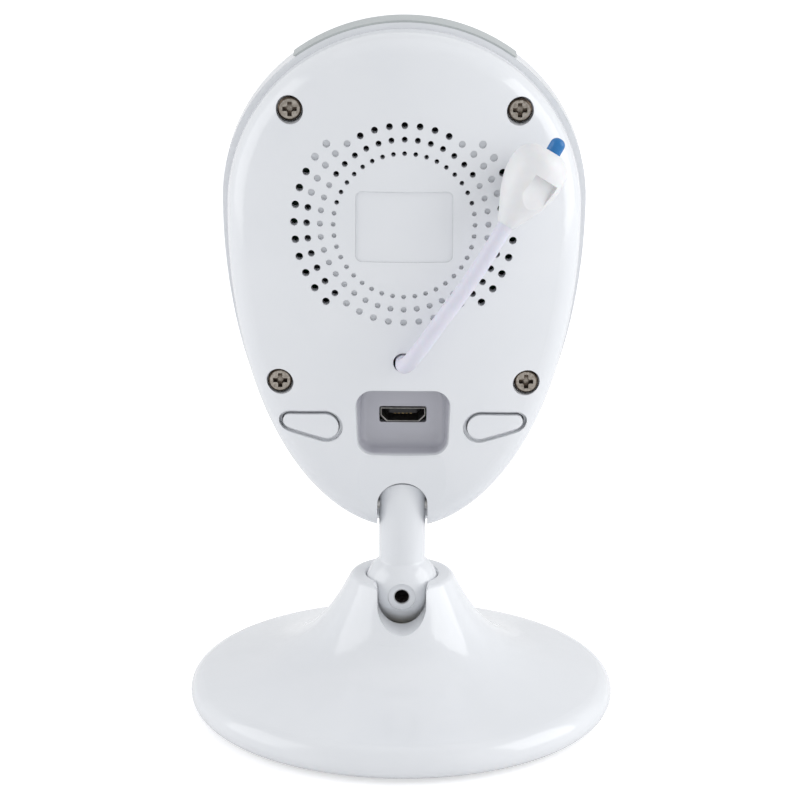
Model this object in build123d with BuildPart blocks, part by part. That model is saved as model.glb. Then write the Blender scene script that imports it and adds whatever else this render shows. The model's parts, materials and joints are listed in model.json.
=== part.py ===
"""Baby monitor camera: egg-shaped head hinged on a ball-jointed neck, on a round weighted base.

Units are millimetres. +Z is up, the origin is the centre of the base's footprint on the table,
the lens looks towards -Y and the back of the head faces +Y.
"""

from build123d import *
import os
from math import asin, cos, radians, sin, sqrt

# ---------------------------------------------------------------- driving dimensions
BASE_R = 35.75  # outer radius of the disc base
BASE_LIFT = 0.6  # gap under the base shell, taken up by the rubber foot
FOOT_OUTER_R = 29.2
FOOT_INNER_R = 26.8
FOOT_GROOVE = 0.8  # depth that the rubber foot is let into the cover
RIM_R = 3.0  # radius of the fully rounded rim
BASE_WALL = 2.4
COLLAR_R = 8.48  # outer corner of the collar's flat top, before rounding
COLLAR_TOP_Z = 24.2
COLLAR_ROUND_R = 1.0
MOUTH_R = 6.25  # opening in the collar's top
LIP_Z = 23.9  # inner edge of the collar, where it holds the ball back
CONE_FOOT = (9.8, 21.67)  # r and z where the straight cone turns into the flare
FLARE_MID = (19.3, 11.05)
CONE_ANGLE = 62.5  # slope of the cone below the collar, degrees
DISC_ANGLE = 14.6  # slope of the disc where it meets the rim, degrees
SLOT_HALF_WIDTH = 4.05  # rear slot that the neck can lean into
SLOT_Z = 21.4  # centre of the slot's round bottom
SLOT_FLARE = 1.2  # convex rounding where the slot runs out into the collar's opening
SLOT_LINING = 1.5  # wall under and beside the slot

BALL_Z = 21.8  # centre of the ball joint
BALL_R = 6.3
RUN_GAP = 0.06  # radial clearance of the ball in its socket
SEAT_START = 0.2  # the ball's seat starts this far above its centre
LINER_WALL = 0.95
LINER_HALF_ANGLE = 28.0
SOCKET_BORE_R = 6.5
SOCKET_WALL = 1.6
CUP_FOOT_Z = 12.2  # underside of the cup that presses the liner against the ball
CUP_H = 4.4
SPRING_R = 5.6
SPRING_WIRE_R = 0.5
SPRING_TURNS = 4
BALL_PORT_R = 1.2  # screw hole in the back of the ball
BALL_PORT_RING_R = 2.3
BALL_PORT_FLOOR_Y = 0.8

NECK_R = 3.88
NECK_FILLET_R = 0.5
NECK_ARCH_Z = 37.2  # centre of the neck's round top, seen from behind
HINGE_Z = 36.6  # axis of the hinge between neck and head
SWING_R = 6.2  # room round the hinge axis for the top of the neck
PIN_R = 1.0

HEAD_WIDE_Z = 87.6  # height where the egg is widest
HEAD_HALF_W = 30.1
HEAD_UP = 29.45  # from the widest height to the top
HEAD_DOWN = 56.7  # from the widest height to the bottom tip
REAR_INSET = 1.0  # the rear shell is this much smaller all round
PARTING_Y = -7.0
BACK_Y = 9.8  # rearmost point of the crowned back
BACK_Z = 71.2  # height of that point
CROWN_RV = 100.0  # radius of the back seen from the side
CROWN_RH = 62.0  # radius of the back seen from above
BACK_EDGE_R = 5.4
FRONT_Y = -18.5
FRONT_CROWN_R = 260.0
FRONT_EDGE_R = 5.0
WALL = 1.9

TRIM_Z = 111.3  # the grey crown trim covers the head above this height
TRIM_PROUD = 0.3
TRIM_SINK = 0.9

NECK_SLOT_HALF_W = 4.2  # slot in the back of the head for the neck
NECK_SLOT_ARCH_Z = 37.43
LOOK_DOWN_ANGLE = 16.0  # the slot's front wall leans by this much

GRILLE_Z = 86.6
GRILLE_RINGS = ((11.5, 0.37), (13.66, 0.47), (15.83, 0.54), (17.9, 0.61))  # ring and hole radii
GRILLE_PITCH = 9  # degrees between neighbouring holes
DIMPLE_DEPTH = 0.7
OPEN_DEPTH = 4.0  # far enough to go through the wall
LABEL_Z = 86.4
LABEL_SIZE = (15.75, 11.3)
LABEL_CORNER_R = 1.0
LABEL_DEPTH = 0.25

PORT_Z = 52.77
PORT_FLOOR = (13.4, 9.75)  # width and height of the power recess at its floor
PORT_CORNER_R = 1.8
PORT_FLOOR_ROUND = 1.2  # where the recess walls meet its floor
PORT_FLOOR_Y = 3.0
PORT_DRAFT = 12.0  # slope of the recess walls, degrees
PORT_WALL = 1.6
USB_Z = 53.1
USB_SIZE = (7.4, 2.35)
USB_CHAMFER = 1.0
USB_SKIN = 0.14
USB_TONGUE_SETBACK = 1.3
USB_OPENING = (7.8, 2.75)
USB_OPENING_R = 0.35

CABLE_Z = 63.87
CABLE_R = 1.3
CABLE_HOLE_R = 1.65

BUTTON_BIG = (12.8, 52.0, 2.87)  # x, z and radius of the wide end of a button's ledge
BUTTON_SMALL = (18.6, 52.4, 1.93)
BUTTON_LEDGE = 0.67  # width of the ledge round the button
BUTTON_LEDGE_DEPTH = 0.95
BUTTON_GAP = 0.17
BUTTON_TRAVEL = 0.5

SCREW_SPOTS = ((18.75, 104.1), (20.28, 59.45))  # x and z of the housing screws, mirrored in x
SCREW_HEAD_R = 2.0
SCREW_SINK_R = 2.22
SCREW_SINK = 0.7  # depth of a screw's head below the surface
SCREW_SHANK_R = 1.1
FIT = 0.02  # clearance between pieces that are fastened together

BOARD_Y = -4.6  # front face of the main board
BOARD_T = 1.6
SHIELD_Z = 69.0
ANTENNA_Z = 107.4
BOARD_SPOTS = ((9.5, 108.9), (20.5, 71.2))  # x and z of the board's screws, mirrored in x
LENS_Z = 86.2
WINDOW_R = 22.0
WINDOW_Y = -18.7
WINDOW_T = 2.0
LENS_BARREL_R = 5.6
LED_BOARD_T = 1.2
LED_RING_R = 12.5
LED_COUNT = 8
LED_R = 1.5
MIC_Z = 58.2
MIC_FRONT_Y = -15.1
STATUS_Z = 61.7

SPEAKER_R = 17.0
SPEAKER_TILT = 8.6  # follows the slope of the back at the grille, degrees
SPEAKER_FRONT_Y = 3.7
SWITCH_SPOT = (15.0, 52.1)
SWITCH_TOP_Y = 0.2
PLUNGER_R = 1.6
PLUNGER_TOP_Y = 1.0
CONNECTOR_X = 11.2
PROBE_START = (-16.3, 12.0, 87.75)  # where the cable enters the probe's housing
PROBE_END = (-23.2, 8.9, 99.35)  # the flat front of the housing
PROBE_WAIST = 9.6  # the housing is widest this far along it
PROBE_WAIST_R = 4.8
PROBE_NOSE_R = 2.35
GRIP_FLOOR_R = 3.35  # distance of a grip recess's flat floor from the housing's axis
GRIP_WIDTH = 4.6
GRIP_SPAN = (2.5, 9.3)  # where a grip recess starts and ends along the housing
GRIP_ANGLE = 112  # turn of the first grip recess round the axis, degrees
TIP_R = 1.25
TIP_OFFSET = 0.7  # the tip sits this far off the housing's axis
TIP_LENGTH = 2.6

# ---------------------------------------------------------------- derived places
CROWN_AXIS_Y = BACK_Y - CROWN_RH
BOARD_BACK_Y = BOARD_Y + BOARD_T
SEAT_FRONT_Y = WINDOW_Y + WINDOW_T
SEAT_T = 1.6
LED_BOARD_Y = SEAT_FRONT_Y + SEAT_T + 0.02  # front face of the lamp board
LINER_R = BALL_R + 0.05 + LINER_WALL
BASE_COVER_TOP_Z = BASE_LIFT + 1.8
BASE_COVER_R = 30.0
TUBE_FOOT_Z = 5.2
TINY = 0.02
PROUD = 1.0  # how far cutting tools start outside the surface


def upright(y):
    """Vertical plane at depth y: local x is +X, local y is +Z, normal towards the front."""
    return Plane(origin=(0, y, 0), x_dir=(1, 0, 0), z_dir=(0, -1, 0))


def facing_front(x, y, z):
    return Plane(origin=(x, y, z), x_dir=(1, 0, 0), z_dir=(0, -1, 0))


def facing_back(x, y, z):
    return Plane(origin=(x, y, z), x_dir=(-1, 0, 0), z_dir=(0, 1, 0))


def crown_y(x, z):
    """Depth of the crowned back at a point of the rear view."""
    reach = CROWN_RH - CROWN_RV + sqrt(CROWN_RV**2 - (z - BACK_Z) ** 2)
    return CROWN_AXIS_Y + sqrt(reach**2 - x**2)


def both_sides(spots):
    """The given x and z spots and their mirror images."""
    return [(side * x, z) for side in (1, -1) for x, z in spots]


def finish(part, name):
    part.label = name
    export_step(part, f"parts/{name}.step")


# ---------------------------------------------------------------- the base
def bell_line(shift_r, shift_z):
    """Outline from the collar down the cone and out over the disc, moved by the shifts."""
    rim = (BASE_R - RIM_R, BASE_LIFT + RIM_R)
    rim_top = (rim[0] + RIM_R * sin(radians(DISC_ANGLE)), rim[1] + RIM_R * cos(radians(DISC_ANGLE)))
    collar = (COLLAR_R, COLLAR_TOP_Z)
    places = [(r + shift_r, z + shift_z) for r, z in (collar, CONE_FOOT, FLARE_MID, rim_top)]
    straight = Line(places[0], places[1])
    down_cone = (cos(radians(CONE_ANGLE)), -sin(radians(CONE_ANGLE)))
    down_disc = (cos(radians(DISC_ANGLE)), -sin(radians(DISC_ANGLE)))
    flare = Spline(*places[1:], tangents=[down_cone, down_disc])
    return straight, flare


def slot_face():
    """Rear slot of the collar: round bottom, straight sides, sides flaring out at the top."""
    top_z = COLLAR_TOP_Z + 0.15
    flare_z = top_z - SLOT_FLARE
    half = SLOT_HALF_WIDTH
    with BuildLine() as outline:
        ThreePointArc((-half, SLOT_Z), (0, SLOT_Z - half), (half, SLOT_Z))
        Line((half, SLOT_Z), (half, flare_z))
        RadiusArc((half, flare_z), (half + SLOT_FLARE, top_z), SLOT_FLARE)
        Polyline((half + SLOT_FLARE, top_z), (half + SLOT_FLARE, top_z + 5),
                 (-half - SLOT_FLARE, top_z + 5), (-half - SLOT_FLARE, top_z))
        RadiusArc((-half - SLOT_FLARE, top_z), (-half, flare_z), SLOT_FLARE)
        Line((-half, flare_z), (-half, SLOT_Z))
    make_face(outline.edges())


def base_screw_spots():
    return PolarLocations(24.0, 3, start_angle=90)


def whole_bell():
    """Outer shape of the base, solid throughout."""
    rim_centre = (BASE_R - RIM_R, BASE_LIFT + RIM_R)
    with BuildPart() as bell:
        with BuildSketch(Plane.XZ):
            with BuildLine():
                straight, flare = bell_line(0, 0)
                top = Line(straight @ 0, (0, COLLAR_TOP_Z))
                axis_down = Line(top @ 1, (0, BASE_LIFT))
                floor = Line(axis_down @ 1, (rim_centre[0], BASE_LIFT))
                ThreePointArc(floor @ 1, (BASE_R, rim_centre[1]), flare @ 1)
            make_face()
        revolve(axis=Axis.Z)
        fillet(bell.edges().filter_by(GeomType.CIRCLE).sort_by(Axis.Z)[-1], COLLAR_ROUND_R)
    return bell.part


def slot_lining():
    """Walls under and beside the rear slot, between the socket and the cone."""
    low_z = SLOT_Z - SLOT_HALF_WIDTH - SLOT_LINING
    with BuildPart() as lining:
        with BuildSketch(Plane.XY.offset(low_z)):
            with Locations((0, BALL_R + 3.5)):
                Rectangle(2 * (SLOT_HALF_WIDTH + SLOT_LINING), 9.0)
        extrude(amount=COLLAR_TOP_Z - low_z)
        add(whole_bell(), mode=Mode.INTERSECT)
    return lining.part


def liner_room():
    """Relief in front of the ball, which the liner swings into when the neck leans back."""
    with BuildPart() as room:
        with Locations((0, 0, BALL_Z)):
            Sphere(LINER_R + 0.05)
        with BuildSketch(Plane.XY.offset(BALL_Z - LINER_R - 1)):
            with Locations((0, -LINER_R)):
                Rectangle(3 * LINER_R, 2 * LINER_R)
        extrude(amount=LINER_R + 1 + SEAT_START, mode=Mode.INTERSECT)
    return room.part


def make_base_shell():
    with BuildPart() as base_shell:
        add(whole_bell())
        # hollow under the bell, with an inturned lip round the bottom opening
        with BuildSketch(Plane.XZ):
            with BuildLine():
                straight, flare = bell_line(-1.3, -2.0)
                inside_r = BASE_R - BASE_WALL
                opening_r = BASE_COVER_R + 0.1
                side = Polyline(flare @ 1, (inside_r, BASE_LIFT + RIM_R), (inside_r, BASE_COVER_TOP_Z))
                under = Polyline(side @ 1, (opening_r, BASE_COVER_TOP_Z), (opening_r, BASE_LIFT),
                                 (0, BASE_LIFT))
                up = Line(under @ 1, (0, (straight @ 0).Y))
                Line(up @ 1, straight @ 0)
            make_face()
        revolve(axis=Axis.Z, mode=Mode.SUBTRACT)
        # tube that guides the pressure cup
        with BuildSketch(Plane.XY.offset(TUBE_FOOT_Z)):
            Circle(SOCKET_BORE_R + SOCKET_WALL)
        extrude(amount=COLLAR_TOP_Z - 1.0 - TUBE_FOOT_Z)
        add(slot_lining())
        # bosses for the cover screws
        with BuildSketch(Plane.XY.offset(BASE_COVER_TOP_Z + TINY)):
            with base_screw_spots():
                Circle(2.8)
        extrude(amount=5.0)
        with BuildSketch(Plane.XY.offset(BASE_COVER_TOP_Z)):
            with base_screw_spots():
                Circle(SCREW_SHANK_R + FIT)
        extrude(amount=4.4, mode=Mode.SUBTRACT)
        # bore below the ball, then the ball's own seat above its equator
        with BuildSketch(Plane.XZ):
            with BuildLine():
                seat_r = BALL_R + RUN_GAP
                shoulder_z = BALL_Z + SEAT_START
                lip_r = sqrt(seat_r**2 - (LIP_Z - BALL_Z) ** 2)
                shoulder_r = sqrt(seat_r**2 - (shoulder_z - BALL_Z) ** 2)
                bore = Polyline((0, TUBE_FOOT_Z - 1), (SOCKET_BORE_R, TUBE_FOOT_Z - 1),
                                (SOCKET_BORE_R, shoulder_z), (shoulder_r, shoulder_z))
                mid_angle = asin((LIP_Z - BALL_Z) / seat_r) / 2
                seat = ThreePointArc(bore @ 1, (seat_r * cos(mid_angle), BALL_Z + seat_r * sin(mid_angle)),
                                     (lip_r, LIP_Z))
                mouth = Line(seat @ 1, (MOUTH_R, COLLAR_TOP_Z))
                Polyline(mouth @ 1, (MOUTH_R, COLLAR_TOP_Z + 2), (0, COLLAR_TOP_Z + 2),
                         (0, TUBE_FOOT_Z - 1))
            make_face()
        revolve(axis=Axis.Z, mode=Mode.SUBTRACT)
        add(liner_room(), mode=Mode.SUBTRACT)
        with BuildSketch(upright(0)):
            slot_face()
        extrude(amount=-BASE_R, mode=Mode.SUBTRACT)
    finish(base_shell.part, "base_shell")


def make_base_cover():
    with BuildPart() as base_cover:
        with BuildSketch(Plane.XY.offset(BASE_LIFT)):
            Circle(BASE_COVER_R)
        extrude(amount=BASE_COVER_TOP_Z - BASE_LIFT)
        # ring that centres the spring
        with BuildSketch(Plane.XY.offset(BASE_COVER_TOP_Z)):
            Circle(7.9)
            Circle(6.5, mode=Mode.SUBTRACT)
        extrude(amount=1.5)
        # groove for the rubber foot
        with BuildSketch(Plane.XY.offset(BASE_LIFT)):
            Circle(FOOT_OUTER_R + FIT)
            Circle(FOOT_INNER_R - FIT, mode=Mode.SUBTRACT)
        extrude(amount=FOOT_GROOVE, mode=Mode.SUBTRACT)
        for spot in base_screw_spots().locations:
            with Locations(Plane(origin=(spot.position.X, spot.position.Y, BASE_LIFT), z_dir=(0, 0, -1))):
                CounterBoreHole(radius=SCREW_SHANK_R + 0.1, counter_bore_radius=2.3, counter_bore_depth=1.1)
    finish(base_cover.part, "base_cover")


def cross_recess(plane, size, depth):
    """Cuts the cross of a screw head into the part being built."""
    with BuildSketch(plane) as cross:
        Rectangle(size, size * 0.3)
        Rectangle(size * 0.3, size)
        Circle(size * 0.27)
    extrude(cross.sketch, amount=-depth, mode=Mode.SUBTRACT)


def make_base_screws():
    head_z = BASE_LIFT + 1.1
    with BuildPart() as base_screws:
        with BuildSketch(Plane.XY.offset(head_z)):
            with base_screw_spots():
                Circle(2.1)
        extrude(amount=-1.0)
        with BuildSketch(Plane.XY.offset(head_z)):
            with base_screw_spots():
                Circle(SCREW_SHANK_R)
        extrude(amount=4.6)
        for spot in base_screw_spots().locations:
            underside = Plane(origin=(spot.position.X, spot.position.Y, head_z - 1.0), z_dir=(0, 0, -1))
            cross_recess(underside, 2.2, 0.6)
    finish(base_screws.part, "base_screws")


def make_foot_ring():
    """Rubber ring that the camera stands on."""
    with BuildPart() as foot_ring:
        with BuildSketch():
            Circle(FOOT_OUTER_R)
            Circle(FOOT_INNER_R, mode=Mode.SUBTRACT)
        extrude(amount=BASE_LIFT + FOOT_GROOVE - TINY)
        chamfer(foot_ring.faces().sort_by(Axis.Z)[0].edges(), 0.3)
    finish(foot_ring.part, "foot_ring")


def make_ballast_ring():
    with BuildPart() as ballast_ring:
        with BuildSketch(Plane.XY.offset(BASE_COVER_TOP_Z + TINY)):
            Circle(20.5)
            Circle(10.5, mode=Mode.SUBTRACT)
        extrude(amount=3.2)
        chamfer(ballast_ring.edges().filter_by(GeomType.CIRCLE), 0.4)
    finish(ballast_ring.part, "ballast_ring")


def make_pressure_cup():
    """Turned cup with a spherical seat, pushed up by the spring."""
    seat_r = LINER_R + 0.05
    with BuildPart() as pressure_cup:
        with BuildSketch(Plane.XY.offset(CUP_FOOT_Z)):
            Circle(SOCKET_BORE_R - 0.1)
        extrude(amount=CUP_H)
        with Locations((0, 0, BALL_Z)):
            Sphere(seat_r, mode=Mode.SUBTRACT)
        with BuildSketch(Plane.XY.offset(CUP_FOOT_Z)):
            Circle(SPRING_R - SPRING_WIRE_R - 0.7)
        extrude(amount=-2.0)
    finish(pressure_cup.part, "pressure_cup")


def make_seat_spring():
    foot_z = BASE_COVER_TOP_Z + SPRING_WIRE_R + TINY
    height = CUP_FOOT_Z - SPRING_WIRE_R - TINY - foot_z
    with BuildPart() as seat_spring:
        with BuildLine():
            coil = Helix(pitch=height / SPRING_TURNS, height=height, radius=SPRING_R, center=(0, 0, foot_z))
        with BuildSketch(Plane(origin=coil @ 0, z_dir=coil % 0)):
            Circle(SPRING_WIRE_R)
        sweep()
    finish(seat_spring.part, "seat_spring")


def make_friction_liner():
    """Thin spherical cap that the ball rides on."""
    inner_r = BALL_R + 0.05
    reach = radians(LINER_HALF_ANGLE)
    half = radians(LINER_HALF_ANGLE / 2)
    with BuildPart() as friction_liner:
        with BuildSketch(Plane.XZ):
            with BuildLine():
                inner = ThreePointArc((0, BALL_Z - inner_r),
                                      (inner_r * sin(half), BALL_Z - inner_r * cos(half)),
                                      (inner_r * sin(reach), BALL_Z - inner_r * cos(reach)))
                edge = Line(inner @ 1, (LINER_R * sin(reach), BALL_Z - LINER_R * cos(reach)))
                outer = ThreePointArc(edge @ 1, (LINER_R * sin(half), BALL_Z - LINER_R * cos(half)),
                                      (0, BALL_Z - LINER_R))
                Line(outer @ 1, inner @ 0)
            make_face()
        revolve(axis=Axis.Z)
    finish(friction_liner.part, "friction_liner")


# ---------------------------------------------------------------- the neck
def whole_neck():
    """Ball and shaft in one, with a round top seen from behind, the pin bore and the screw's hole."""
    blend_r = NECK_R + NECK_FILLET_R
    blend_z = BALL_Z + sqrt((BALL_R + NECK_FILLET_R) ** 2 - blend_r**2)
    leave = BALL_R / (BALL_R + NECK_FILLET_R)
    ball_end = (blend_r * leave, BALL_Z + (blend_z - BALL_Z) * leave)
    deep = BALL_R + 1
    with BuildPart() as neck:
        with BuildSketch(Plane.XZ):
            with BuildLine():
                ball = ThreePointArc((0, BALL_Z - BALL_R), (BALL_R, BALL_Z), ball_end)
                blend = RadiusArc(ball @ 1, (NECK_R, blend_z), NECK_FILLET_R)
                shaft = Line(blend @ 1, (NECK_R, NECK_ARCH_Z + NECK_R))
                top = Line(shaft @ 1, (0, NECK_ARCH_Z + NECK_R))
                Line(top @ 1, ball @ 0)
            make_face()
        revolve(axis=Axis.Z)
        with BuildSketch(upright(-deep)):
            with Locations((0, NECK_ARCH_Z)):
                Circle(NECK_R)
            with Locations((0, NECK_ARCH_Z - deep * 2)):
                Rectangle(2 * deep, 4 * deep)
        extrude(amount=-2 * deep, mode=Mode.INTERSECT)
        with BuildSketch(Plane.YZ.offset(-deep)):
            with Locations((0, HINGE_Z)):
                Circle(PIN_R + 0.05)
        extrude(amount=2 * deep, mode=Mode.SUBTRACT)
        # spot face and bore for the screw that draws the halves together
        with BuildSketch(facing_front(0, BALL_R, BALL_Z)):
            Circle(BALL_PORT_RING_R)
        extrude(amount=0.8, mode=Mode.SUBTRACT)
        with BuildSketch(facing_front(0, BALL_R, BALL_Z)):
            Circle(BALL_PORT_R)
        extrude(amount=BALL_R - BALL_PORT_FLOOR_Y, mode=Mode.SUBTRACT)
        with BuildSketch(facing_front(0, BALL_PORT_FLOOR_Y, BALL_Z)):
            Circle(0.7 + FIT)
        extrude(amount=5.4, mode=Mode.SUBTRACT)
    return neck.part


def make_neck_halves():
    with BuildPart() as neck_rear_half:
        add(whole_neck())
        split(bisect_by=Plane.XZ.offset(-0.005), keep=Keep.BOTTOM)
    finish(neck_rear_half.part, "neck_rear_half")
    with BuildPart() as neck_front_half:
        add(whole_neck())
        split(bisect_by=Plane.XZ.offset(0.005), keep=Keep.TOP)
    finish(neck_front_half.part, "neck_front_half")


def make_neck_screw():
    head_y = BALL_PORT_FLOOR_Y + 1.0
    with BuildPart() as neck_screw:
        with BuildSketch(facing_front(0, head_y, BALL_Z)):
            Circle(BALL_PORT_R - 0.05)
        extrude(amount=1.0 - TINY)
        with BuildSketch(facing_front(0, BALL_PORT_FLOOR_Y + TINY, BALL_Z)):
            Circle(0.7)
        extrude(amount=5.2)
        cross_recess(facing_back(0, head_y, BALL_Z), 1.3, 0.5)
    finish(neck_screw.part, "neck_screw")


def make_hinge_pin():
    with BuildPart() as hinge_pin:
        with BuildSketch(Plane.YZ.offset(-6.6)):
            with Locations((0, HINGE_Z)):
                Circle(PIN_R)
        extrude(amount=13.2)
        chamfer(hinge_pin.edges().filter_by(GeomType.CIRCLE), 0.2)
    finish(hinge_pin.part, "hinge_pin")


# ---------------------------------------------------------------- the head's casing
def egg_face(inset):
    """Egg outline: half ellipses above and below the widest height."""
    centre = (0, HEAD_WIDE_Z)
    with BuildLine() as outline:
        EllipticalCenterArc(centre, HEAD_HALF_W - inset, HEAD_UP - inset, start_angle=0, arc_size=180)
        EllipticalCenterArc(centre, HEAD_HALF_W - inset, HEAD_DOWN - inset, start_angle=180, arc_size=180)
    make_face(outline.edges())


def rear_pod(inset):
    """Solid behind the parting plane, bounded by the crowned back, with every face moved in."""
    low_z, high_z = 20.0, 126.0
    rv = CROWN_RV - inset
    rh = CROWN_RH - inset
    edge_r = max(BACK_EDGE_R - inset, 1.0)
    with BuildPart() as pod:
        with BuildSketch(upright(PARTING_Y)):
            egg_face(REAR_INSET + inset)
        extrude(amount=-40)
        with BuildSketch(Plane(origin=(0, CROWN_AXIS_Y, 0), x_dir=(1, 0, 0), z_dir=(0, -1, 0))):
            with BuildLine():
                low = (rh - rv + sqrt(rv**2 - (low_z - BACK_Z) ** 2), low_z)
                high = (rh - rv + sqrt(rv**2 - (high_z - BACK_Z) ** 2), high_z)
                ThreePointArc(low, (rh, BACK_Z), high)
                Polyline(high, (0, high_z), (0, low_z), low)
            make_face()
        revolve(axis=Axis((0, CROWN_AXIS_Y, 0), (0, 0, 1)), revolution_arc=180, mode=Mode.INTERSECT)
        fillet(pod.faces().filter_by(GeomType.REVOLUTION).edges(), edge_r)
    return pod.part


def front_pod(inset):
    """Solid in front of the parting plane, with a slightly crowned face."""
    edge_r = FRONT_EDGE_R - inset
    with BuildPart() as pod:
        with BuildSketch(upright(PARTING_Y)):
            egg_face(inset)
        extrude(amount=20)
        with Locations((0, FRONT_Y + FRONT_CROWN_R, LENS_Z - 4)):
            Sphere(FRONT_CROWN_R - inset, mode=Mode.INTERSECT)
        fillet(pod.faces().filter_by(GeomType.SPHERE).edges(), edge_r)
    return pod.part


def teardrop(outset, side):
    """Button outline, grown by outset: hull of a wide and a narrow circle."""
    big_x, big_z, big_r = BUTTON_BIG
    small_x, small_z, small_r = BUTTON_SMALL
    with BuildLine() as rounds:
        CenterArc((side * big_x, big_z), big_r + outset, 0, 360)
        CenterArc((side * small_x, small_z), small_r + outset, 0, 360)
    make_hull(rounds.edges())


def port_face(grow):
    RectangleRounded(PORT_FLOOR[0] + 2 * grow, PORT_FLOOR[1] + 2 * grow, PORT_CORNER_R + grow)


def port_cavity():
    """Space of the power recess, wider towards the outside, with its floor's edge rounded."""
    with BuildPart() as cavity:
        with BuildSketch(upright(PORT_FLOOR_Y)):
            with Locations((0, PORT_Z)):
                port_face(0)
        extrude(amount=-12, taper=-PORT_DRAFT)
        fillet(cavity.faces().sort_by(Axis.Y)[0].edges(), PORT_FLOOR_ROUND)
    return cavity.part


def usb_face(grow, mode=Mode.ADD):
    """Socket outline with its two lower corners cut off."""
    half_w = USB_SIZE[0] / 2 + grow
    half_h = USB_SIZE[1] / 2 + grow
    Polygon((-half_w, half_h), (half_w, half_h), (half_w, USB_CHAMFER - half_h),
            (half_w - USB_CHAMFER, -half_h), (USB_CHAMFER - half_w, -half_h), (-half_w, USB_CHAMFER - half_h),
            align=None, mode=mode)


def hole_is_open(ring, angle):
    """Which grille holes go right through; the others are only dimples."""
    mirrored = 180 - angle if angle <= 180 else 540 - angle
    upper = {0: 18, 1: 36, 2: 63}
    if ring in upper and upper[ring] <= angle <= 180 - upper[ring]:
        return True
    side_arc = {2: (171, 225), 3: (153, 225)}
    if ring not in side_arc:
        return False
    low, high = side_arc[ring]
    return low <= angle <= high or low <= mirrored <= high


def hole_is_there(ring, angle):
    """The outermost ring is only an arc on each side."""
    off_axis = min(abs(angle - 180), angle, 360 - angle)
    return ring < 3 or off_axis <= 45


def grille_spots(ring, ring_r, want_open):
    """Places on the crowned back, facing outwards, of one ring's open holes or of its dimples."""
    spots = []
    for angle in range(0, 360, GRILLE_PITCH):
        if hole_is_there(ring, angle) and hole_is_open(ring, angle) == want_open:
            x = ring_r * cos(radians(angle))
            z = GRILLE_Z + ring_r * sin(radians(angle))
            spots.append(facing_back(x, crown_y(x, z), z))
    return spots


def surface_cut(depth, drawing):
    """Tool that sinks a drawing into the back to an even depth below the crowned surface."""
    with BuildPart() as tool:
        with BuildSketch(upright(BACK_Y + 4)):
            drawing()
        extrude(amount=20)
        add(rear_pod(depth), mode=Mode.SUBTRACT)
    return tool.part


def label_face():
    with Locations((0, LABEL_Z)):
        RectangleRounded(*LABEL_SIZE, LABEL_CORNER_R)


def ledge_faces():
    teardrop(0, 1)
    teardrop(0, -1)


def neck_slot():
    """Space for the neck in the head: arched from behind, leaning front wall, room for the top to swing."""
    top_z = NECK_SLOT_ARCH_Z + NECK_SLOT_HALF_W
    wall_y = -NECK_R - 0.3
    low_z = HEAD_WIDE_Z - HEAD_DOWN - 5.0
    low_y = wall_y - (HINGE_Z - low_z) * sin(radians(LOOK_DOWN_ANGLE)) / cos(radians(LOOK_DOWN_ANGLE))
    with BuildPart() as slot:
        with BuildSketch(upright(-12)):
            with Locations((0, (NECK_SLOT_ARCH_Z + low_z) / 2)):
                Rectangle(2 * NECK_SLOT_HALF_W, NECK_SLOT_ARCH_Z - low_z)
            with Locations((0, NECK_SLOT_ARCH_Z)):
                Circle(NECK_SLOT_HALF_W)
        extrude(amount=-40)
        with BuildSketch(Plane.YZ.offset(-NECK_SLOT_HALF_W - 1)):
            Polygon((wall_y, top_z + 1), (wall_y, HINGE_Z), (low_y, low_z - 1), (BACK_Y + 20, low_z - 1),
                    (BACK_Y + 20, top_z + 1), align=None)
        extrude(amount=2 * NECK_SLOT_HALF_W + 2, mode=Mode.INTERSECT)
        with BuildSketch(facing_front(0, 0, HINGE_Z)):
            with BuildLine():
                EllipticalCenterArc((0, 0), NECK_SLOT_HALF_W, SWING_R, start_angle=0, arc_size=180)
                Line((-NECK_SLOT_HALF_W, 0), (NECK_SLOT_HALF_W, 0))
            make_face()
        revolve(axis=Axis((0, 0, HINGE_Z), (1, 0, 0)))
    return slot.part


def rear_blocks():
    """Walls that stand inside the rear shell: slot cheeks, power tub, screw pillars, button guides."""
    with BuildPart() as blocks:
        with BuildSketch(upright(PARTING_Y)):
            with Locations((0, HINGE_Z - 1.4)):
                Rectangle(2 * (NECK_SLOT_HALF_W + 2.6), 2 * (SWING_R + 2.8))
        extrude(amount=-30)
        with BuildSketch(upright(PORT_FLOOR_Y - PORT_WALL)):
            with Locations((0, PORT_Z)):
                port_face(PORT_WALL)
        extrude(amount=-14, taper=-PORT_DRAFT)
        with BuildSketch(upright(PARTING_Y)):
            with Locations(*both_sides(SCREW_SPOTS)):
                Circle(SCREW_SINK_R + 1.2)
        extrude(amount=-30)
        add(rear_pod(WALL / 2), mode=Mode.INTERSECT)
    return blocks.part


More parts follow.
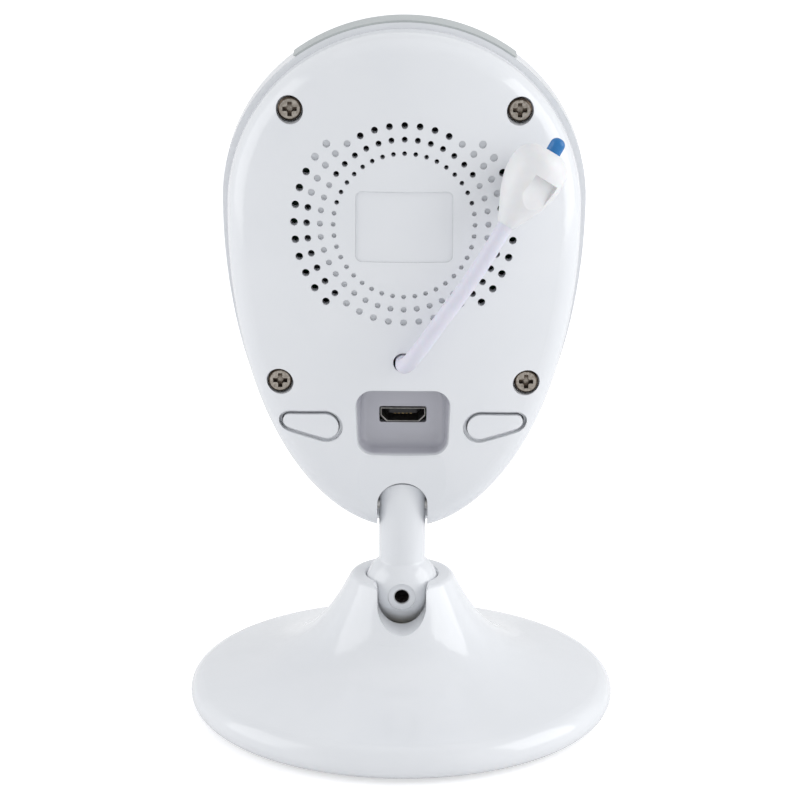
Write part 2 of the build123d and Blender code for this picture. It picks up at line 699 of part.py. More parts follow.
def make_rear_shell():
    with BuildPart() as rear_shell:
        add(rear_pod(0))
        add(rear_pod(WALL), mode=Mode.SUBTRACT)
        add(rear_blocks())
        add(neck_slot(), mode=Mode.SUBTRACT)
        # flat run below the power recess, so that the plug's cable can turn down
        with BuildSketch(Plane.YZ.offset(-12)):
            run_top_z = PORT_Z - PORT_FLOOR[1] / 2 - 1.0
            run_y = crown_y(0, run_top_z) - 0.35
            Polygon((run_y, run_top_z), (run_y - 4.8, run_top_z - 16), (25, run_top_z - 16), (25, run_top_z),
                    align=None)
        extrude(amount=24, mode=Mode.SUBTRACT)
        add(port_cavity(), mode=Mode.SUBTRACT)
        with BuildSketch(upright(PORT_FLOOR_Y + 1)):
            with Locations((0, USB_Z)):
                RectangleRounded(*USB_OPENING, USB_OPENING_R)
        extrude(amount=4, mode=Mode.SUBTRACT)
        with BuildSketch(upright(BACK_Y + 2)):
            with Locations((0, CABLE_Z)):
                Circle(CABLE_HOLE_R)
        extrude(amount=12, mode=Mode.SUBTRACT)
        add(surface_cut(LABEL_DEPTH, label_face), mode=Mode.SUBTRACT)
        add(surface_cut(BUTTON_LEDGE_DEPTH, ledge_faces), mode=Mode.SUBTRACT)
        for ring, (ring_r, hole_r) in enumerate(GRILLE_RINGS):
            for is_open, depth in ((False, DIMPLE_DEPTH), (True, OPEN_DEPTH)):
                with Locations(*[spot.offset(PROUD) for spot in grille_spots(ring, ring_r, is_open)]):
                    Hole(radius=hole_r, depth=depth + PROUD)
        with BuildSketch(upright(BACK_Y + 2)):
            teardrop(BUTTON_GAP - BUTTON_LEDGE, 1)
            teardrop(BUTTON_GAP - BUTTON_LEDGE, -1)
        extrude(amount=14, mode=Mode.SUBTRACT)
        for x, z in both_sides(SCREW_SPOTS):
            with Locations(facing_back(x, crown_y(x, z) + 2.0, z)):
                CounterBoreHole(radius=SCREW_SHANK_R + 0.15, counter_bore_radius=SCREW_SINK_R,
                                counter_bore_depth=4.0, depth=30)
        with BuildSketch(Plane.YZ.offset(-6.62)):
            with Locations((0, HINGE_Z)):
                Circle(PIN_R + 0.005)
        extrude(amount=13.24, mode=Mode.SUBTRACT)
    # a cut dimple can leave its chip behind as a second solid
    with BuildPart() as one_piece:
        add(rear_shell.solids().sort_by(SortBy.VOLUME)[-1])
    finish(one_piece.part, "rear_shell")


def trim_zone(grow_z):
    """Box above the trim's lower edge, in front of the parting plane."""
    with BuildPart() as zone:
        with BuildSketch(upright(PARTING_Y - 0.1)):
            with Locations((0, TRIM_Z + 15 - grow_z)):
                Rectangle(80, 30)
        extrude(amount=9.4)
    return zone.part


def trim_rebate():
    """Layer that the front shell gives up to the trim."""
    with BuildPart() as rebate:
        add(trim_zone(0))
        add(front_pod(TRIM_SINK), mode=Mode.SUBTRACT)
    return rebate.part


def make_front_shell():
    with BuildPart() as front_shell:
        add(front_pod(0))
        add(front_pod(WALL), mode=Mode.SUBTRACT)
        # seat of the round window
        with BuildSketch(upright(SEAT_FRONT_Y + SEAT_T)):
            with Locations((0, LENS_Z)):
                Circle(WINDOW_R + 1.8)
        extrude(amount=SEAT_T)
        with BuildSketch(upright(SEAT_FRONT_Y)):
            with Locations((0, LENS_Z)):
                Circle(WINDOW_R + FIT)
        extrude(amount=10, mode=Mode.SUBTRACT)
        with BuildSketch(upright(0)):
            with Locations((0, LENS_Z)):
                Circle(WINDOW_R - 2.2)
        extrude(amount=30, mode=Mode.SUBTRACT)
        # bosses for the housing screws and posts for the board
        with BuildSketch(upright(PARTING_Y - TINY)):
            with Locations(*both_sides(SCREW_SPOTS)):
                Circle(3.0)
        extrude(amount=8.6)
        with BuildSketch(upright(BOARD_Y - TINY)):
            with Locations(*both_sides(BOARD_SPOTS)):
                Circle(2.2)
        extrude(amount=12.0)
        with BuildSketch(upright(0)):
            with Locations(*both_sides(SCREW_SPOTS)):
                Circle(SCREW_SHANK_R + FIT)
            with Locations(*both_sides(BOARD_SPOTS)):
                Circle(0.8 + FIT)
        extrude(amount=15.0, mode=Mode.SUBTRACT)
        # openings for the microphone and the status light
        with BuildSketch(upright(0)):
            with Locations((0, MIC_Z)):
                Circle(0.6)
            with Locations((0, STATUS_Z)):
                Circle(1.0 + FIT)
        extrude(amount=30, mode=Mode.SUBTRACT)
        # rebate for the grey trim
        add(trim_rebate(), mode=Mode.SUBTRACT)
    finish(front_shell.part, "front_shell")


def make_crown_trim():
    with BuildPart() as crown_trim:
        add(front_pod(-TRIM_PROUD))
        add(front_pod(TRIM_SINK - 0.01), mode=Mode.SUBTRACT)
        add(trim_zone(-FIT), mode=Mode.INTERSECT)
    finish(crown_trim.part, "crown_trim")


def make_housing_screws():
    head_h = 1.3
    with BuildPart() as housing_screws:
        for x, z in both_sides(SCREW_SPOTS):
            top_y = crown_y(x, z) - SCREW_SINK
            with BuildSketch(upright(top_y)):
                with Locations((x, z)):
                    Circle(SCREW_HEAD_R)
            extrude(amount=head_h - TINY)
            with BuildSketch(upright(top_y)):
                with Locations((x, z)):
                    Circle(SCREW_SHANK_R)
            extrude(amount=top_y + 14.0)
            cross_recess(facing_back(x, top_y, z), 2.35, 0.9)
        fillet(housing_screws.edges().filter_by(GeomType.CIRCLE).filter_by(
            lambda edge: abs(edge.radius - SCREW_HEAD_R) < TINY), 0.45)
    finish(housing_screws.part, "housing_screws")


def button_flange(side):
    """Rim just under the shell's wall that keeps a button in."""
    under = WALL + 0.12
    with BuildPart() as flange:
        with BuildSketch(upright(0)):
            teardrop(0, side)
        extrude(amount=-20)
        add(rear_pod(under), mode=Mode.INTERSECT)
        add(rear_pod(under + 0.9), mode=Mode.SUBTRACT)
    return flange.part


def make_button(side, name):
    """Teardrop cap, a flange that keeps it in, and a stem that reaches the switch."""
    with BuildPart() as button:
        with BuildSketch(upright(0)):
            teardrop(-BUTTON_LEDGE, side)
        extrude(amount=-20)
        add(rear_pod(0.1), mode=Mode.INTERSECT)
        add(rear_pod(WALL + 0.6), mode=Mode.SUBTRACT)
        add(button_flange(side))
        with BuildSketch(upright(PLUNGER_TOP_Y + TINY)):
            with Locations((side * SWITCH_SPOT[0], SWITCH_SPOT[1])):
                Circle(PLUNGER_R - 0.1)
        extrude(amount=-2.7)
    finish(button.part, name)


def make_switches():
    with BuildPart() as tact_switches:
        with BuildSketch(upright(BOARD_BACK_Y + TINY)):
            with Locations(*both_sides([SWITCH_SPOT])):
                Rectangle(6, 6)
        extrude(amount=BOARD_BACK_Y + TINY - SWITCH_TOP_Y)
        with BuildSketch(upright(SWITCH_TOP_Y)):
            with Locations(*both_sides([SWITCH_SPOT])):
                Circle(PLUNGER_R + 0.06)
        extrude(amount=1.7, mode=Mode.SUBTRACT)
    finish(tact_switches.part, "tact_switches")
    for side, name in ((1, "switch_plunger_left"), (-1, "switch_plunger_right")):
        with BuildPart() as plunger:
            with BuildSketch(upright(PLUNGER_TOP_Y)):
                with Locations((side * SWITCH_SPOT[0], SWITCH_SPOT[1])):
                    Circle(PLUNGER_R)
            extrude(amount=1.9)
        finish(plunger.part, name)


# ---------------------------------------------------------------- lens, lamps and front window
def disc(y, radius, depth, mode=Mode.ADD):
    """Disc round the lens axis, from depth y towards the front."""
    with BuildSketch(upright(y)) as face:
        with Locations((0, LENS_Z)):
            Circle(radius)
    extrude(face.sketch, amount=depth, mode=mode)


def lamp_spots():
    return PolarLocations(LED_RING_R, LED_COUNT, start_angle=180 / LED_COUNT)


def make_front_window():
    with BuildPart() as front_window:
        disc(SEAT_FRONT_Y - TINY, WINDOW_R, WINDOW_T - TINY)
        chamfer(front_window.faces().sort_by(Axis.Y)[0].edges(), 0.5)
        disc(SEAT_FRONT_Y, LENS_BARREL_R + 0.1, 4, Mode.SUBTRACT)
        with BuildSketch(facing_front(0, SEAT_FRONT_Y, LENS_Z)):
            with lamp_spots():
                Circle(LED_R + 0.1)
            with Locations((0, -LED_RING_R)):
                Circle(LED_R)
        extrude(amount=4, mode=Mode.SUBTRACT)
    finish(front_window.part, "front_window")


def make_lens():
    front_y = WINDOW_Y - 0.5
    with BuildPart() as lens_barrel:
        disc(-7.0, LENS_BARREL_R, -7.0 - front_y)
        disc(-7.0, 3.2, 30, Mode.SUBTRACT)
        with BuildSketch(upright(front_y)):
            with Locations((0, LENS_Z)):
                Circle(LENS_BARREL_R - 0.8)
        extrude(amount=-2.6, taper=14, mode=Mode.SUBTRACT)
        chamfer(lens_barrel.faces().sort_by(Axis.Y)[0].edges().sort_by(SortBy.RADIUS)[-1], 0.25)
    finish(lens_barrel.part, "lens_barrel")
    with BuildPart() as lens_glass:
        disc(front_y + 4.4, 3.2 - 0.02, 3.2)
        bulge_r = 6.0
        with Locations((0, front_y + 1.2 + bulge_r, LENS_Z)):
            Sphere(bulge_r, mode=Mode.INTERSECT)
    finish(lens_glass.part, "lens_glass")
    with BuildPart() as lens_holder:
        with BuildSketch(facing_front(0, BOARD_Y - TINY, LENS_Z)):
            RectangleRounded(14, 14, 1)
        extrude(amount=5.4)
        disc(-6.0, LENS_BARREL_R + FIT, 10, Mode.SUBTRACT)
        with BuildSketch(facing_front(0, 0, LENS_Z)):
            Rectangle(8.4, 7.4)
        extrude(amount=6.01, mode=Mode.SUBTRACT)
    finish(lens_holder.part, "lens_holder")
    with BuildPart() as image_sensor:
        with BuildSketch(facing_front(0, BOARD_Y - TINY, LENS_Z)):
            Rectangle(8, 7)
        extrude(amount=0.9)
    finish(image_sensor.part, "image_sensor")


def make_lamp_board():
    with BuildPart() as ir_led_board:
        disc(LED_BOARD_Y + LED_BOARD_T, WINDOW_R - 0.7, LED_BOARD_T)
        disc(LED_BOARD_Y + LED_BOARD_T, 7.2, LED_BOARD_T, Mode.SUBTRACT)
    finish(ir_led_board.part, "ir_led_board")
    with BuildPart() as ir_leds:
        with BuildSketch(facing_front(0, LED_BOARD_Y - TINY, LENS_Z)):
            with lamp_spots():
                Circle(LED_R)
        extrude(amount=LED_BOARD_Y - WINDOW_Y - 0.3)
        fillet(ir_leds.edges().group_by(Axis.Y)[0], 1.1)
    finish(ir_leds.part, "ir_leds")
    with BuildPart() as light_sensor:
        with BuildSketch(facing_front(0, LED_BOARD_Y - TINY, LENS_Z - LED_RING_R)):
            Circle(LED_R - 0.1)
        extrude(amount=LED_BOARD_Y - WINDOW_Y - 0.8)
        fillet(light_sensor.edges().group_by(Axis.Y)[0], 0.5)
    finish(light_sensor.part, "light_sensor")


def make_small_front_parts():
    with BuildPart() as status_light:
        with BuildSketch(facing_front(0, BOARD_Y - 1.0, STATUS_Z)):
            Circle(1.0)
        extrude(amount=12.3)
        fillet(status_light.faces().sort_by(Axis.Y)[0].edges(), 0.3)
    finish(status_light.part, "status_light")
    with BuildPart() as microphone:
        with BuildSketch(facing_front(0, MIC_FRONT_Y, MIC_Z)):
            Circle(2.0)
        extrude(amount=-2.3)
        with BuildSketch(facing_front(0, MIC_FRONT_Y, MIC_Z)):
            Circle(0.5)
        extrude(amount=-0.5, mode=Mode.SUBTRACT)
    finish(microphone.part, "microphone")


# ---------------------------------------------------------------- the main board and what it carries
def make_main_board():
    with BuildPart() as main_board:
        with BuildSketch(upright(BOARD_BACK_Y)) as outline:
            for half_w, low_z, high_z in ((15.1, 48.7, 106.2), (11.4, 105.2, 111.3), (18.3, 48.7, 55.6),
                                          (23.2, 67.2, 96.2)):
                with Locations((0, (low_z + high_z) / 2)):
                    Rectangle(2 * half_w, high_z - low_z)
            fillet(outline.vertices(), 0.8)
            with Locations(*both_sides(BOARD_SPOTS)):
                Circle(1.0, mode=Mode.SUBTRACT)
        extrude(amount=BOARD_T)
    finish(main_board.part, "main_board")


def make_board_screws():
    with BuildPart() as board_screws:
        with BuildSketch(upright(BOARD_BACK_Y + 1.0 + TINY)):
            with Locations(*both_sides(BOARD_SPOTS)):
                Circle(1.6)
        extrude(amount=1.0)
        with BuildSketch(upright(BOARD_BACK_Y + TINY)):
            with Locations(*both_sides(BOARD_SPOTS)):
                Circle(0.8)
        extrude(amount=7.0)
        for x, z in both_sides(BOARD_SPOTS):
            cross_recess(facing_back(x, BOARD_BACK_Y + 1.0 + TINY, z), 1.7, 0.5)
    finish(board_screws.part, "board_screws")


def make_shield_and_antenna():
    with BuildPart() as rf_shield:
        with BuildSketch(facing_back(0, BOARD_BACK_Y + TINY, SHIELD_Z)):
            RectangleRounded(13, 10, 0.8)
        extrude(amount=2.1)
        with BuildSketch(facing_back(0, BOARD_BACK_Y + TINY, SHIELD_Z)):
            RectangleRounded(12.4, 9.4, 0.5)
        extrude(amount=1.8, mode=Mode.SUBTRACT)
    finish(rf_shield.part, "rf_shield")
    with BuildPart() as antenna:
        with BuildSketch(Plane.XY.offset(ANTENNA_Z)) as bent_strip:
            with Locations((0, BOARD_BACK_Y + TINY + 0.75)):
                Rectangle(12.6, 1.5)
            with Locations((0, BOARD_BACK_Y + TINY + 0.6)):
                Rectangle(12.0, 1.2, mode=Mode.SUBTRACT)
        extrude(bent_strip.sketch, amount=3.0)
    finish(antenna.part, "antenna")


def make_usb_socket():
    back_y = BOARD_BACK_Y + TINY
    mouth_y = PORT_FLOOR_Y + 0.2
    with BuildPart() as usb_shell:
        with BuildSketch(upright(back_y)):
            with Locations((0, USB_Z)):
                usb_face(0)
                usb_face(-USB_SKIN, Mode.SUBTRACT)
        extrude(amount=back_y - mouth_y)
    finish(usb_shell.part, "usb_shell")
    tongue_z = USB_Z + 0.25
    with BuildPart() as usb_tongue:
        with BuildSketch(upright(back_y)):
            with Locations((0, USB_Z)):
                usb_face(-USB_SKIN - 0.03)
        extrude(amount=-1.6)
        with BuildSketch(upright(back_y)):
            with Locations((0, tongue_z)):
                Rectangle(4.6, 0.7)
        extrude(amount=back_y - mouth_y + USB_TONGUE_SETBACK)
    finish(usb_tongue.part, "usb_tongue")
    with BuildPart() as usb_contacts:
        with BuildSketch(upright(back_y + 1.7)):
            with Locations((0, tongue_z - 0.35 - 0.09)):
                with GridLocations(0.65, 1, 5, 1):
                    Rectangle(0.36, 0.14)
        extrude(amount=back_y + 1.8 + USB_TONGUE_SETBACK - mouth_y)
    finish(usb_contacts.part, "usb_contacts")


def make_speaker():
    lean = radians(SPEAKER_TILT)
    face_on = Plane(origin=(0, SPEAKER_FRONT_Y, LENS_Z), x_dir=(-1, 0, 0), z_dir=(0, cos(lean), sin(lean)))
    with BuildPart() as speaker:
        with BuildSketch(face_on):
            Circle(SPEAKER_R)
        extrude(amount=-1.2)
        with BuildSketch(face_on.offset(-1.2)):
            Circle(SPEAKER_R - 2.0)
        extrude(amount=-2.2, taper=50)
        with BuildSketch(face_on.offset(-1.2)):
            Circle(9.0)
        extrude(amount=-3.4)
        # dished cone with a dust cap in the middle
        with BuildSketch(face_on):
            Circle(SPEAKER_R - 2.4)
        extrude(amount=-1.9, taper=60, mode=Mode.SUBTRACT)
        with BuildSketch(face_on.offset(-1.9)):
            Circle(4.5)
        extrude(amount=1.0, taper=30)
    finish(speaker.part, "speaker")
    with BuildPart() as speaker_gasket:
        with BuildSketch(face_on.offset(TINY)):
            Circle(SPEAKER_R)
            Circle(SPEAKER_R - 2.0, mode=Mode.SUBTRACT)
        extrude(amount=0.5)
    finish(speaker_gasket.part, "speaker_gasket")


# ---------------------------------------------------------------- the temperature probe
def make_probe():
    start = Vector(*PROBE_START)
    along = (Vector(*PROBE_END) - start).normalized()
    housing_plane = Plane(origin=start, x_dir=Vector(0, 1, 0).cross(along).normalized(), z_dir=along)
    length = (Vector(*PROBE_END) - start).length
    half_plane = Plane(origin=start, x_dir=housing_plane.x_dir, z_dir=-housing_plane.y_dir)
    with BuildPart() as probe_housing:
        with BuildSketch(half_plane):
            with BuildLine():
                body = Spline((1.35, 0), (2.5, 2.2), (3.5, 4.3), (4.5, 7.2), (PROBE_WAIST_R, PROBE_WAIST),
                              tangents=[(0.7, 1), (0, 1)])
                nose = Spline(body @ 1, (4.1, 12.5), (PROBE_NOSE_R, length), tangents=[(0, 1), (-1, 0.4)])
                Polyline(nose @ 1, (0, length), (0, 0), body @ 0)
            make_face()
        revolve(axis=Axis(start, along))
        for turn in (radians(GRIP_ANGLE), radians(GRIP_ANGLE + 180)):
            outwards = housing_plane.x_dir * cos(turn) + housing_plane.y_dir * sin(turn)
            with BuildSketch(Plane(origin=start + along * GRIP_SPAN[0], x_dir=outwards, z_dir=along)):
                with Locations((GRIP_FLOOR_R + PROBE_WAIST_R, 0)):
                    Rectangle(2 * PROBE_WAIST_R, GRIP_WIDTH)
            extrude(amount=GRIP_SPAN[1] - GRIP_SPAN[0], mode=Mode.SUBTRACT)
        # bores for the cable and the tip
        with BuildSketch(housing_plane):
            Circle(CABLE_R + 0.05)
        extrude(amount=4.0, mode=Mode.SUBTRACT)
        with BuildSketch(housing_plane.offset(length)):
            with Locations((-TIP_OFFSET, 0)):
                Circle(TIP_R + FIT)
        extrude(amount=-3.0, mode=Mode.SUBTRACT)
    finish(probe_housing.part, "probe_housing")
    with BuildPart() as probe_tip:
        with BuildSketch(housing_plane.offset(length - 2.9)):
            with Locations((-TIP_OFFSET, 0)):
                Circle(TIP_R)
        extrude(amount=2.9 + TIP_LENGTH)
        fillet(probe_tip.edges().group_by(Axis(start, along))[-1], TIP_R - 0.15)
    finish(probe_tip.part, "probe_tip")
    plug_y = BOARD_BACK_Y + 1.8
    inner_end = start + along * 3.8
    with BuildPart() as probe_cable:
        with BuildLine() as run:
            inside = Spline((CONNECTOR_X - TINY, plug_y, CABLE_Z + 0.4), (7.0, 1.9, CABLE_Z + 0.2),
                            (0, 6.4, CABLE_Z), tangents=[(-1, 0, 0), (0, 1, 0)])
            through = Line(inside @ 1, (0, crown_y(0, CABLE_Z) + 0.3, CABLE_Z))
            outside = Spline(through @ 1, (-4.5, 14.2, 70.1), start, tangents=[(0, 1, 0), tuple(along)])
            Line(outside @ 1, inner_end)
        with BuildSketch(Plane(origin=run.line @ 0, z_dir=run.line % 0)):
            Circle(CABLE_R)
        sweep()
    finish(probe_cable.part, "probe_cable")
    with BuildPart() as probe_connector:
        with BuildSketch(facing_back(CONNECTOR_X + 2.4, BOARD_BACK_Y + TINY, CABLE_Z + 0.4)):
            Rectangle(4.8, 4.4)
        extrude(amount=3.6)
    finish(probe_connector.part, "probe_connector")


def main():
    os.makedirs("parts", exist_ok=True)
    make_base_shell()
    make_base_cover()
    make_base_screws()
    make_foot_ring()
    make_ballast_ring()
    make_pressure_cup()
    make_seat_spring()
    make_friction_liner()
    make_neck_halves()
    make_neck_screw()
    make_hinge_pin()
    make_rear_shell()
    make_front_shell()
    make_crown_trim()
    make_housing_screws()
    make_button(1, "rear_button_left")
    make_button(-1, "rear_button_right")
    make_switches()
    make_front_window()
    make_lens()
    make_lamp_board()
    make_small_front_parts()
    make_main_board()
    make_board_screws()
    make_shield_and_antenna()
    make_usb_socket()
    make_speaker()
    make_probe()


main()
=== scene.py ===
"""Looks of the baby monitor camera: procedural materials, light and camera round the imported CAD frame."""

import bpy
import json
import math
import numpy as np
from functools import partial
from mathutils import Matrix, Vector

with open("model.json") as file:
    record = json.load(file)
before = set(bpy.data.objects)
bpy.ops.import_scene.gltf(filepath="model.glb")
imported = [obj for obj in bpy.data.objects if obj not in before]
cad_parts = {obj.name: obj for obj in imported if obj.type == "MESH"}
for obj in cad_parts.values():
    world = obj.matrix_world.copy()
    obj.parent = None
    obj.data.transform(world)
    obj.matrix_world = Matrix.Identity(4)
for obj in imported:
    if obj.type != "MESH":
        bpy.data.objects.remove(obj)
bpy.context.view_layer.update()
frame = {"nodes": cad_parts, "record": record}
MM = 0.001
OPENNESS_SAMPLES = 8
EDGE_SAMPLES = 4
MIX_FACTOR, MIX_FIRST, MIX_SECOND, MIX_RESULT = 0, 6, 7, 2  # socket places of a colour mix node


# ---------------------------------------------------------------- node helpers
class Shader:
    """A node material whose patterns are laid out in the piece's own space, in millimetres."""

    def __init__(self, name):
        self.material = bpy.data.materials.new(name)
        self.material.use_nodes = True
        self.nodes = self.material.node_tree.nodes
        self.links = self.material.node_tree.links
        self.bsdf = self.nodes["Principled BSDF"]
        place = self.nodes.new("ShaderNodeTexCoord")
        scaled = self.nodes.new("ShaderNodeVectorMath")
        scaled.operation = "SCALE"
        scaled.inputs["Scale"].default_value = 1 / MM
        self.links.new(place.outputs["Object"], scaled.inputs[0])
        self.place = scaled.outputs[0]
        self.bump_normal = None

    def set(self, **values):
        """Sets plain values on the main shader, by input name."""
        for name, value in values.items():
            self.bsdf.inputs[name.replace("_", " ")].default_value = value
        return self

    def noise(self, size_mm, detail=2.0, rough=0.5, stretch=None):
        """Noise whose features are about size_mm across."""
        node = self.nodes.new("ShaderNodeTexNoise")
        node.inputs["Scale"].default_value = 1.0 / size_mm
        node.inputs["Detail"].default_value = detail
        node.inputs["Roughness"].default_value = rough
        place = self.place
        if stretch:
            mapping = self.nodes.new("ShaderNodeMapping")
            mapping.inputs["Scale"].default_value = stretch
            self.links.new(place, mapping.inputs["Vector"])
            place = mapping.outputs[0]
        self.links.new(place, node.inputs["Vector"])
        return node.outputs["Fac"]

    def ramp(self, value, low, high, colours):
        """Blends from the first colour to the second as the pattern goes from low to high."""
        node = self.nodes.new("ShaderNodeValToRGB")
        node.color_ramp.elements[0].position = low
        node.color_ramp.elements[1].position = high
        node.color_ramp.elements[0].color = (*colours[0], 1)
        node.color_ramp.elements[1].color = (*colours[1], 1)
        self.links.new(value, node.inputs["Fac"])
        return node.outputs["Color"]

    def spread(self, value, low, high, out_low, out_high):
        """Maps a 0..1 pattern to a range of plain numbers."""
        node = self.nodes.new("ShaderNodeMapRange")
        for key, number in (("From Min", low), ("From Max", high), ("To Min", out_low), ("To Max", out_high)):
            node.inputs[key].default_value = number
        self.links.new(value, node.inputs["Value"])
        return node.outputs["Result"]

    def math(self, operation, first, second):
        """Plain arithmetic on two sockets or numbers."""
        node = self.nodes.new("ShaderNodeMath")
        node.operation = operation
        for socket, value in zip(node.inputs, (first, second)):
            if isinstance(value, (int, float)):
                socket.default_value = value
            else:
                self.links.new(value, socket)
        return node.outputs[0]

    def axes(self, vector):
        """The x, y and z sockets of a vector."""
        node = self.nodes.new("ShaderNodeSeparateXYZ")
        self.links.new(vector, node.inputs[0])
        return node.outputs[0], node.outputs[1], node.outputs[2]

    def mix(self, factor, first, second):
        """The first colour where the factor is 0, the second where it is 1."""
        node = self.nodes.new("ShaderNodeMix")
        node.data_type = "RGBA"
        if isinstance(factor, float):
            node.inputs[MIX_FACTOR].default_value = factor
        else:
            self.links.new(factor, node.inputs[MIX_FACTOR])
        for socket, value in ((node.inputs[MIX_FIRST], first), (node.inputs[MIX_SECOND], second)):
            if isinstance(value, tuple):
                socket.default_value = (*value, 1)
            else:
                self.links.new(value, socket)
        return node.outputs[MIX_RESULT]

    def openness(self, reach_mm, low, high):
        """0 in corners and recesses narrower than the reach, 1 on open faces."""
        node = self.nodes.new("ShaderNodeAmbientOcclusion")
        node.samples = OPENNESS_SAMPLES
        node.inputs["Distance"].default_value = reach_mm * MM
        return self.spread(node.outputs["AO"], low, high, 0.0, 1.0)

    def rounded(self, radius_mm):
        """Softens the look of sharp moulded edges."""
        node = self.nodes.new("ShaderNodeBevel")
        node.samples = EDGE_SAMPLES
        node.inputs["Radius"].default_value = radius_mm * MM
        self.bump_normal = node.outputs["Normal"]
        return self

    def bump(self, height, depth_mm, strength=1.0):
        """Raises the surface's look by a pattern, depth_mm from its lowest to its highest point."""
        node = self.nodes.new("ShaderNodeBump")
        node.inputs["Strength"].default_value = strength
        node.inputs["Distance"].default_value = depth_mm * MM
        self.links.new(height, node.inputs["Height"])
        if self.bump_normal:
            self.links.new(self.bump_normal, node.inputs["Normal"])
        self.bump_normal = node.outputs["Normal"]
        return self

    def wire(self, **sockets):
        """Connects patterns to the main shader, by input name."""
        for name, output in sockets.items():
            self.links.new(output, self.bsdf.inputs[name.replace("_", " ")])
        return self

    def done(self):
        """The finished material."""
        if self.bump_normal:
            self.links.new(self.bump_normal, self.bsdf.inputs["Normal"])
        return self.material


# ---------------------------------------------------------------- materials
PORT_CENTRE_Z = 52.77
PORT_HALF_W, PORT_HALF_H = 8.0, 6.1  # a little outside the power recess
BACK_AT_PORT_Y = 8.09  # depth of the crowned back at the recess
BACK_SLOPE = 0.1875  # the back leans out by this much per millimetre of height there
BACK_CURVE = 1 / 120.6  # fall of the back per square millimetre to the side
# painted shade: the power recess turns grey between these two depths
PORT_SHADE_START, PORT_SHADE_FULL = 0.45, 1.3  # depths below the back's surface
BALL_Z = 21.8
BALL_HOLE_R = 1.25  # just outside the hole's wall
BALL_HOLE_EDGE = 0.2  # width of the mask's soft border
BALL_HOLE_MOUTH_Y = 6.1
BALL_HOLE_SHADE_DEPTH = 1.2


def port_painted_shade_mask(s):
    """1 on the walls and floor of the power recess, where shade is painted grey, 0 on the crowned back round
    it.
    """
    x, y, z = s.axes(s.place)
    up = s.math("SUBTRACT", z, PORT_CENTRE_Z)
    depth = s.math("ADD", y, s.math("MULTIPLY", s.math("MULTIPLY", x, x), BACK_CURVE))
    depth = s.math("SUBTRACT", depth, s.math("MULTIPLY", up, BACK_SLOPE))
    inside = s.spread(depth, BACK_AT_PORT_Y - PORT_SHADE_FULL, BACK_AT_PORT_Y - PORT_SHADE_START, 1.0, 0.0)
    wide = s.math("LESS_THAN", s.math("ABSOLUTE", x, 0), PORT_HALF_W)
    high = s.math("LESS_THAN", s.math("ABSOLUTE", up, 0), PORT_HALF_H)
    return s.math("MULTIPLY", inside, s.math("MULTIPLY", wide, high))


def ball_hole_painted_shade_mask(s):
    """1 on the wall of the screw hole in the back of the ball, where shade is painted dark brown, 0 on the
    rest of the neck.
    """
    x, y, z = s.axes(s.place)
    up = s.math("SUBTRACT", z, BALL_Z)
    square = s.math("ADD", s.math("MULTIPLY", x, x), s.math("MULTIPLY", up, up))
    near = s.spread(square, BALL_HOLE_R**2, (BALL_HOLE_R + BALL_HOLE_EDGE) ** 2, 1.0, 0.0)
    deep = s.spread(y, BALL_HOLE_MOUTH_Y - BALL_HOLE_SHADE_DEPTH, BALL_HOLE_MOUTH_Y, 1.0, 0.0)
    return s.math("MULTIPLY", near, deep)


# limits between which a noise pattern is stretched to its full range
SOFT_SPREAD = (0.3, 0.7)
STAIN_SPREAD = (0.35, 0.62)
DUSTY_ROUGHER = 0.14
SHELL_EDGE_MM = 0.14


def scaled(colour, factor):
    """A colour made darker or brighter by a factor."""
    return tuple(channel * factor for channel in colour)


def gloss_plastic(name, base, deep, rough=0.11, coat=0.35, shade=None):
    """Polished moulded ABS: even colour, faint flow marks, very slight orange peel, dust in places.

    shade is a mask function and a colour that is painted where the mask is 1, as painted shade.
    """
    s = Shader(name)
    clouds = s.noise(size_mm=14, detail=3)
    dust = s.noise(size_mm=0.9, detail=6, rough=0.7)
    peel = s.noise(size_mm=1.6, detail=2)
    tint = s.ramp(clouds, *SOFT_SPREAD, (deep, base))
    # painted shade: the mask's colour replaces the tint where the mask is 1
    if shade:
        mask, colour = shade
        tint = s.mix(mask(s), tint, colour)
    s.wire(Base_Color=tint, Roughness=s.spread(dust, 0.45, 0.8, rough, rough + DUSTY_ROUGHER))
    s.set(IOR=1.50, Coat_Weight=coat, Coat_Roughness=0.05, Coat_IOR=1.5)
    s.rounded(SHELL_EDGE_MM)
    s.bump(peel, depth_mm=0.006, strength=0.35)
    return s.done()


def satin_plastic(name, colour, rough, grain_mm=0.25, depth_mm=0.012, edge=0.12):
    """Finely spark-eroded plastic with slightly rounded edges."""
    s = Shader(name)
    grain = s.noise(grain_mm, detail=4, rough=0.65)
    clouds = s.noise(size_mm=9, detail=2)
    s.wire(Base_Color=s.ramp(clouds, *SOFT_SPREAD, (scaled(colour, 0.93), colour)),
           Roughness=s.spread(grain, *SOFT_SPREAD, rough - 0.06, rough + 0.08))
    s.rounded(edge)
    s.bump(grain, depth_mm, strength=0.6)
    return s.done()


def metal(name, colour, dark, rough, grain=(1, 1, 1), edge=0.06):
    """Plated metal with tarnish in random patches and fine tool marks."""
    s = Shader(name)
    stain = s.noise(size_mm=0.7, detail=5, rough=0.6)
    marks = s.noise(size_mm=0.12, detail=3, rough=0.6, stretch=grain)
    s.wire(Base_Color=s.ramp(stain, *STAIN_SPREAD, (dark, colour)),
           Roughness=s.spread(marks, *SOFT_SPREAD, rough, rough + 0.18))
    s.set(Metallic=1.0)
    s.rounded(edge)
    s.bump(marks, depth_mm=0.004, strength=0.5)
    return s.done()


